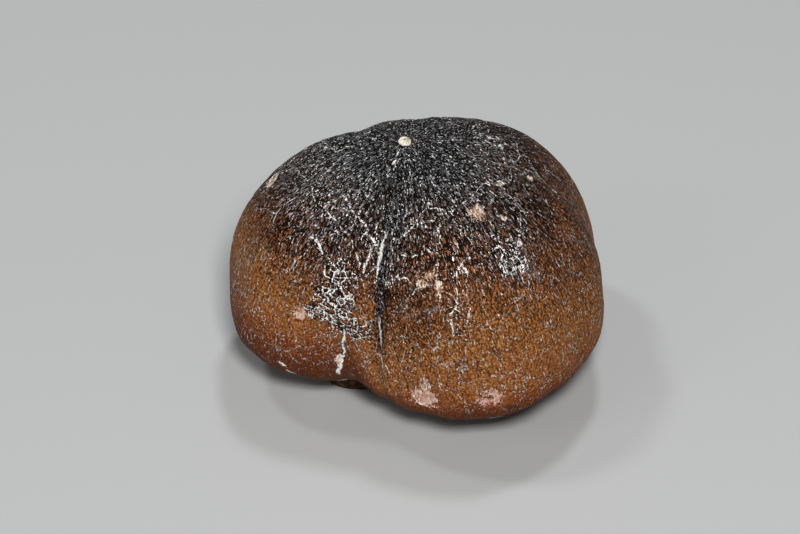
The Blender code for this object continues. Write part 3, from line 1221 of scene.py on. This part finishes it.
@dataclass(frozen=True)
class EnamelFinish:
    """Old enamel, charcoal at the apex and golden brown below, with pale matrix packed into its wrinkles,
    painted shade down in them and painted glints along their rims.

    The weights in its sums are shares. A pair of numbers is where a smooth step is 0 and where it is 1. A
    wander's pair is a noise's spacing and how wide a range it moves a place over.
    """

    charcoal: Colour = (0.060, 0.059, 0.061, 1.0)
    umber: Colour = (0.112, 0.055, 0.036, 1.0)
    chestnut: Colour = (0.258, 0.085, 0.025, 1.0)
    gold: Colour = (0.338, 0.123, 0.029, 1.0)
    amber: Colour = (0.308, 0.107, 0.028, 1.0)
    russet: Colour = (0.205, 0.052, 0.015, 1.0)
    maroon: Colour = (0.110, 0.030, 0.012, 1.0)
    wine: Colour = (0.110, 0.020, 0.010, 1.0)
    honey: Colour = (0.410, 0.215, 0.080, 1.0)
    # Painted shade: the first is near black, for the wrinkles' grooves, the open cracks and beside the white
    # net; the second is brown, for the lower crown's grooves.
    groove: Colour = (0.0035, 0.0025, 0.002, 1.0)
    pit_shade: Colour = (0.040, 0.010, 0.004, 1.0)
    # The next two: chalk is the white of matrix and of the brightest painted glints; the grey after it is that
    # of dusty films and of the other painted glints.
    chalk: Colour = (0.940, 0.920, 0.880, 1.0)
    dust: Colour = (0.165, 0.162, 0.165, 1.0)
    cream: Colour = (0.820, 0.740, 0.640, 1.0)
    tan: Colour = (0.300, 0.130, 0.055, 1.0)
    rose: Colour = (0.470, 0.225, 0.155, 1.0)
    pith: Colour = (0.750, 0.340, 0.070, 1.0)
    soot: Colour = (0.030, 0.022, 0.020, 1.0)
    nub: Colour = (0.930, 0.840, 0.700, 1.0)
    bare: Colour = (0.700, 0.690, 0.620, 1.0)
    # Painted shade: the neck and foot are dark brown dentine, as if in the shade under the crown.
    shaded_dentine: Colour = (0.035, 0.022, 0.015, 1.0)
    shaded_marrow: Colour = (0.120, 0.065, 0.034, 1.0)

    # How far apart the parts of each pattern are.
    worm: float = 0.15 * MM
    stroke: float = 0.11 * MM
    granule: float = 0.24 * MM
    web: float = 0.60 * MM
    tile: float = 0.95 * MM
    plate: float = 4.4 * MM
    clump: float = 1.5 * MM
    lump: float = 0.45 * MM
    crumb: float = 0.17 * MM
    grain: float = 0.10 * MM

    # The way down the crown is scaled by a draw before a pattern is read, and edges wander.
    worm_draw: float = 0.8
    stroke_draw: float = 0.4
    tile_draw: float = 0.7
    web_draw: float = 2.2
    worm_wander: Span = (0.45 * MM, 0.16 * MM)
    net_wander: Span = (0.40 * MM, 0.24 * MM)
    web_wander: Span = (0.35 * MM, 0.20 * MM)
    tile_wanders: tuple[Span, ...] = ((1.1 * MM, 0.4 * MM), (0.3 * MM, 0.12 * MM))
    plate_wanders: tuple[Span, ...] = ((2.6 * MM, 1.2 * MM), (0.35 * MM, 0.16 * MM))

    # Lines of the nets, in cell sizes from the cells' borders.
    tile_line: Span = (0.045, 0.012)
    plate_line: Span = (0.009, 0.003)
    web_line: Span = (0.10, 0.04)
    shade_line: Span = (0.25, 0.15)
    stroke_shift: tuple[float, float, float] = (0.013, 0.007, 0.021)
    shade_shift: tuple[float, float, float] = (0.07 * MM, 0.07 * MM, 0.10 * MM)

    # Where things change down the crown, by turn or by band of colour.
    cap_turns: Span = (8.0, 26.0)
    plate_top_turns: Span = (14.0, 30.0)
    plate_foot_turns: Span = (70.0, 50.0)
    tile_turns: Span = (44.0, 66.0)
    calm_turns: Span = (84.0, 106.0)
    spent_bands: Span = (26.0, 62.0)
    low_bands: Span = (38.0, 74.0)
    mellow_bands: Span = (64.0, 90.0)
    red_bands: Span = (92.0, 112.0)
    last_band: float = 160.0
    wide_drift: float = 5.0 * MM
    close_drift: float = 0.9 * MM
    ring_drift: float = 0.5 * MM

    bump_depth: float = 0.11 * MM
    base_gloss: float = 0.02
    coat_roughness: float = 0.22

    def material(self) -> bpy.types.Material:
        """The finish as a material: its colour, what fills it, its relief, and a coat on the bare ridges.

        Returns:
            The material.
        """
        bench = Bench("fossil_enamel_skin")
        at = Patterns(bench, self)
        valley, colour = self.grooved(bench, at)
        white, whiteness, colour = self.matrix(bench, at, colour)
        colour, pale = self.fillings(bench, at, white, whiteness, colour)
        height = 0.60 * valley.at_most(0.8) + 0.16 * at.fine
        relief = height * (1.0 - 0.5 * at.calm) - 0.4 * at.tiles + 0.30 * white
        bump = {"Height": relief, "Strength": 1.0, "Distance": self.bump_depth}
        facing = bench.wire("ShaderNodeLayerWeight", {}, {"Blend": 0.5}, "Facing")
        glint = (0.15 + 0.9 * at.flow + 0.5 * at.fine).rise(0.20, 0.80) * valley.rise(0.30, 0.60)
        return bench.surface(
            {
                "Base Color": colour,
                "Roughness": (0.50 + 0.40 * pale).at_most(0.95),
                "Coat Weight": glint * (1.0 - pale) * (1.0 - 0.5 * at.low) * (1.0 - facing),
                "Normal": bench.wire("ShaderNodeBump", {}, bump, "Normal"),
                "Specular IOR Level": self.base_gloss,
                "Coat Roughness": self.coat_roughness,
            }
        )

    def enamel(self, bench: Bench, at: Patterns) -> Wire:
        """The enamel's own colour, in bands down the crown with ragged edges.

        Args:
            bench: The material's bench.
            at: The patterns.

        Returns:
            The colour.
        """
        wide = bench.chance(at.place, self.wide_drift, 2.0)
        close = bench.chance(at.place, self.close_drift, 1.0)
        share = (at.band + 7.0 * wide + 2.5 * close) * (1.0 / self.last_band)
        stops = (
            (0.13, self.charcoal),
            (0.25, self.umber),
            (0.35, self.chestnut),
            (0.46, self.gold),
            (0.54, self.amber),
            (0.63, self.russet),
            (0.74, self.maroon),
        )
        return bench.wire("ShaderNodeValToRGB", {"stops": stops}, {"Fac": share}, "Color")

    def grooved(self, bench: Bench, at: Patterns) -> tuple[Wire, Wire]:
        """The enamel with painted shade down in its wrinkles and its net of granules, darker lines between its
        tiles, and painted light on its ridges.

        Args:
            bench: The material's bench.
            at: The patterns.

        Returns:
            How far up out of the grooves the place is, and the colour.
        """
        net_place = bench.wander(at.lane, self.net_wander)
        net = bench.cells(net_place, self.granule)
        tone = bench.cell_chance(net_place, self.granule)
        worms = abs(at.wave)
        valley = worms + 0.75 * at.low * (2.4 * net - worms) + 0.16 * at.fine
        weak = at.low * (0.32 - 0.06 * at.lumps) + 0.46 * at.mellow
        # Painted shade in the grooves of the wrinkles and of the net, weaker on the lower crown.
        gap_shade = (valley - 0.29 * (1.0 - at.low)).rise(0.40, 0.13) * (1.0 - weak).clamped()
        # Painted shading: lighter up on the ridges and darker down towards the groove colour, with random tone
        # from the noises.
        lit = 0.42 + (0.55 - 0.30 * at.mellow) * valley.at_most(1.0) + 0.20 * at.low * (tone - 0.5)
        lit = lit + 0.22 * at.flow + 0.06 * at.lumps + 0.15 * at.low + 0.12 * at.mellow - 0.14 * at.chalky
        # The painted shade's colour: near black above, brown where the bands are mellow.
        under = bench.mix(at.mellow, self.groove, self.pit_shade)
        colour = bench.mix(lit.at_most(1.0).at_least(0.1), under, self.enamel(bench, at))
        golden = (0.55 * at.low + 0.2 * at.mellow) * (1.0 - 0.7 * at.band.rise(*self.red_bands))
        colour = bench.mix(golden * (at.fine + 0.2 * at.lumps).rise(0.08, 0.55), colour, self.honey)
        deep = (0.45 * at.low + 0.3 * at.mellow) * (at.fine + 0.5 * at.flow).rise(-0.20, -0.85)
        colour = bench.mix(deep, colour, self.wine)
        # Painted shade in the grooves, with the tile lines darkened in the same colour, less on the smooth
        # lowest band.
        shade_and_tile_lines = gap_shade.at_least(0.60 * at.tiles) * (1.0 - 0.65 * at.calm)
        return valley, bench.mix(0.97 * shade_and_tile_lines, colour, under)

    def matrix(self, bench: Bench, at: Patterns, colour: Wire) -> tuple[Wire, Wire, Wire]:
        """Painted glints mixed with pale matrix along the wrinkles' rims, matrix as crumbs and in the nets, and
        painted shadow beside the white net.

        Args:
            bench: The material's bench.
            at: The patterns.
            colour: The enamel's colour, with its grooves.

        Returns:
            Where matrix and painted glints lie, how white rather than grey they are there, and the colour with
            the painted shadow.
        """
        # Painted glints: strokes along the rims of the wrinkles' grooves, partly real pale matrix and dusty
        # films.
        rims = at.wave.rise(0.24, 0.40) * at.wave.rise(0.80, 0.52)
        scatter = 0.10 + 0.08 * at.turn.rise(*self.cap_turns) - 0.47 * at.band.rise(*self.spent_bands)
        scatter = scatter - 0.20 * at.calm + 0.50 * bench.read(Stain.DUST.value)
        scatter = scatter + 0.05 * at.chalky + 0.10 * at.clumps
        strokes = rims * (0.36 + 2.0 * scatter + 0.7 * at.flow + 0.5 * at.fine).rise(0.15, 0.75)
        crumbs = (0.40 * scatter + at.fine + 0.10 * at.lumps - 0.20 * at.low).rise(0.80, 1.00)
        patch = 1.1 * at.chalky + 0.35 * at.fine + 0.30 * at.lumps
        web_place = bench.wander(bench.drawn(at.lane, self.web_draw), self.web_wander)
        webs = bench.cells(web_place, self.web).rise(*self.web_line)
        thick = webs * patch.rise(0.50, 0.66) * (0.40 + 0.7 * at.flow + 0.5 * at.fine).rise(0.0, 0.4)
        # Painted shadow: the same net moved a little aside, darkened beside the white lines.
        shade_place = bench.vectors("ADD", web_place, self.shade_shift)
        shade = bench.cells(shade_place, self.web).rise(*self.shade_line)
        dotted = at.tiles * (0.30 + 0.15 * at.clumps + 0.9 * at.fine).rise(0.0, 0.6)
        veins = at.plates * (0.4 * at.clumps + at.fine + 0.4 * at.lumps).rise(-0.1, 0.3)
        white = strokes.at_least(crumbs, thick, 0.50 * dotted, veins)
        bright = crumbs.at_least(thick, veins, 0.3 * dotted)
        whiteness = (at.flow + 0.9 * at.fine - 0.04 + 0.10 * at.low + bright).clamped()
        return white, whiteness, bench.mix(0.9 * shade * patch.rise(0.46, 0.66), colour, self.groove)

    def fillings(
        self, bench: Bench, at: Patterns, white: Wire, whiteness: Wire, colour: Wire
    ) -> tuple[Wire, Wire]:
        """What lies on the enamel: matrix, cracks, worn spots, the nub, and bone at the margin and below, with
        painted glints along the wrinkles' rims, and painted shade in the open cracks and on the neck and foot.

        Args:
            bench: The material's bench.
            at: The patterns.
            white: Where matrix lies.
            whiteness: How white it is there, rather than grey.
            colour: The enamel's colour, with its grooves and shade.

        Returns:
            The colour with what lies on it, and how much of it is pale.
        """
        seam = (bench.read(Seam.FILLED.value) + 0.10 * at.fine + 0.05 * at.lumps).rise(0.035, -0.01)
        seam = seam * (0.65 + 0.8 * at.fine + 0.4 * at.flow).rise(-0.1, 0.35)
        # Painted shade down in the open cracks.
        crack_shade = (bench.read(Seam.OPEN.value) + 0.06 * at.fine).rise(0.05, -0.01)
        # A darker patch, with ragged edges, where its marks lie.
        soot = (bench.read(Stain.SOOT.value) + 0.3 * at.lumps).rise(0.25, 0.75)
        colour = bench.mix(0.55 * soot, colour, self.soot)
        colour = bench.mix(0.9 * crack_shade, colour, self.groove)
        # Painted glints with pale matrix and crumbs, from grey to white.
        colour = bench.mix(white, colour, bench.mix(whiteness, self.dust, self.chalk))
        colour = bench.mix(0.95 * seam, colour, self.chalk)
        ragged = 0.16 * at.lumps + 0.50 * at.fine
        patchy = (0.45 + 0.8 * at.flow + 0.6 * at.lumps).clamped()
        creamy = bench.read(Stain.CREAM.value)
        cream = (creamy + 0.8 * ragged).rise(0.40, 0.54) * creamy.rise(0.03, 0.12)
        colour = bench.mix(cream, colour, bench.mix(0.9 * patchy, self.tan, self.cream))
        rosy = bench.read(Stain.ROSE.value)
        rose = (rosy + ragged).rise(0.38, 0.52) * rosy.rise(0.03, 0.12)
        colour = bench.mix(rose, colour, bench.mix(0.5 * patchy, self.rose, self.cream))
        nubby = bench.read(Stain.NUB.value)
        colour = bench.mix((nubby + 0.10 * at.fine).rise(0.26, 0.40), colour, self.nub)
        colour = bench.mix((nubby + 0.02 * at.fine).rise(0.975, 0.995), colour, self.pith)
        # Below the margin: dentine painted dark, as if in the shade under the crown.
        edge = FORM.margin_turn
        bone = at.turn.rise(edge - 1.0, edge + 1.0)
        colour = bench.mix(bone, colour, bench.mix((0.5 + at.lumps).clamped(), self.shaded_dentine, self.shaded_marrow))
        margin = at.turn.rise(edge - 5.5, edge - 3.5) * at.turn.rise(edge + 2.0, edge + 0.5)
        chips = (bench.read(Stain.BARE.value) + 0.05 * at.lumps).rise(0.46, 0.52)
        bare = (margin * (0.3 + at.lumps).rise(0.1, 0.3)).at_least(chips)
        return bench.mix(bare, colour, self.bare), white.at_least(seam, cream, rose, bone, bare)


@dataclass(frozen=True)
class FloorFinish:
    """Pale matt paint."""

    colour: Colour = (0.38, 0.38, 0.375, 1.0)
    roughness: float = 0.7

    def material(self) -> bpy.types.Material:
        """The paint as a material."""
        return Bench("pale_floor").surface({"Base Color": self.colour, "Roughness": self.roughness})


# ---------------------------------------------------------------- the studio


def direction(azimuth: float, elevation: float) -> Vector:
    """The way from the tooth back to a viewer, who looks along +Y at azimuth 0 and along -X at 90."""
    a, e = math.radians(azimuth), math.radians(elevation)
    return Vector((math.sin(a) * math.cos(e), -math.cos(a) * math.cos(e), math.sin(e)))


@dataclass(frozen=True)
class SoftBox:
    """A square soft light that faces the tooth, placed by the same angles as a viewer, with its watts."""

    name: str
    azimuth: float
    elevation: float
    distance: float
    side: float
    power: float
    colour: tuple[float, float, float] = (1.0, 1.0, 1.0)

    def build(self, aim: Vector) -> None:
        """Hang the light.

        Args:
            aim: What it faces.
        """
        lamp = bpy.data.lights.new(self.name, "AREA")
        lamp.shape = "SQUARE"
        lamp.size = self.side
        lamp.energy = self.power
        lamp.color = self.colour
        light = stand(self.name, lamp)
        back = direction(self.azimuth, self.elevation)
        light.location = aim + self.distance * back
        light.rotation_euler = back.to_track_quat("Z", "Y").to_euler()


@dataclass(frozen=True)
class Studio:
    """A pale floor, soft boxes, a pale sky and the camera."""

    floor_side: float = 3.0
    sky: Colour = (0.86, 0.88, 0.90, 1.0)
    sky_strength: float = 0.11
    boxes: tuple[SoftBox, ...] = (
        SoftBox("key_box", 6.0, 48.0, 0.45, 0.08, 2.1),
        SoftBox("fill_box", -55.0, 38.0, 0.55, 0.20, 0.25),
        SoftBox("top_box", 165.0, 66.0, 0.50, 0.06, 0.8, (0.93, 0.96, 1.0)),
        SoftBox("left_box", -120.0, 60.0, 0.50, 0.06, 0.5, (0.95, 0.97, 1.0)),
    )
    camera_elevation: float = 40.0
    camera_distance: float = 0.450
    camera_angle: float = 7.55
    camera_roll: float = -1.2
    nearest_sight: float = 0.01
    aim_right: float = -1.17 * MM
    aim_up: float = 7.2 * MM

    def build_floor(self) -> None:
        """Lay the floor, one square face under the foot."""
        half = self.floor_side / 2.0
        mesh = bpy.data.meshes.new("floor")
        corners = [(-half, -half, 0.0), (half, -half, 0.0), (half, half, 0.0), (-half, half, 0.0)]
        mesh.from_pydata(corners, [], [(0, 1, 2, 3)])
        mesh.materials.append(FloorFinish().material())
        stand("floor", mesh)

    def build_sky(self) -> None:
        """Light everything faintly from all round."""
        world = bpy.data.worlds.new("pale_sky")
        world.use_nodes = True
        background = world.node_tree.nodes["Background"]
        background.inputs["Color"].default_value = self.sky
        background.inputs["Strength"].default_value = self.sky_strength
        bpy.context.scene.world = world
        bpy.context.scene.view_settings.view_transform = "Standard"

    def build_camera(self) -> None:
        """Stand the camera in front, looking down at the crown.

        It looks from its place towards a point beside the origin, then rolls about its own axis.
        """
        lens = bpy.data.cameras.new("camera")
        lens.angle = math.radians(self.camera_angle)
        lens.clip_start = self.nearest_sight
        back = direction(0.0, self.camera_elevation)
        right = Vector((1.0, 0.0, 0.0))
        aim = self.aim_right * right + self.aim_up * back.cross(right)
        place = self.camera_distance * back
        look = (place - aim).to_track_quat("Z", "Y").to_matrix()
        roll = Matrix.Rotation(math.radians(self.camera_roll), 3, "Z")
        camera = stand("camera", lens)
        camera.matrix_world = Matrix.Translation(place) @ (look @ roll).to_4x4()
        bpy.context.scene.camera = camera

    def build(self) -> None:
        """Set up the floor, the light and the camera."""
        self.build_floor()
        self.build_sky()
        aim = Vector((0.0, 0.0, FORM.crown_height / 2.0))
        for box in self.boxes:
            box.build(aim)
        self.build_camera()


def main() -> None:
    """Build and dress the tooth, then the studio round it."""
    logging.basicConfig(level=logging.INFO, format="%(name)s: %(message)s")
    skin_maker = ToothSkin()
    skin = skin_maker.build()
    skin_maker.dress(skin, EnamelFinish())
    LOG.info("%s: %d vertices, %d faces", skin.name, len(skin.data.vertices), len(skin.data.polygons))
    Studio().build()
    LOG.info("studio: floor, sky, lights and camera")


if __name__ == "__main__":
    main()
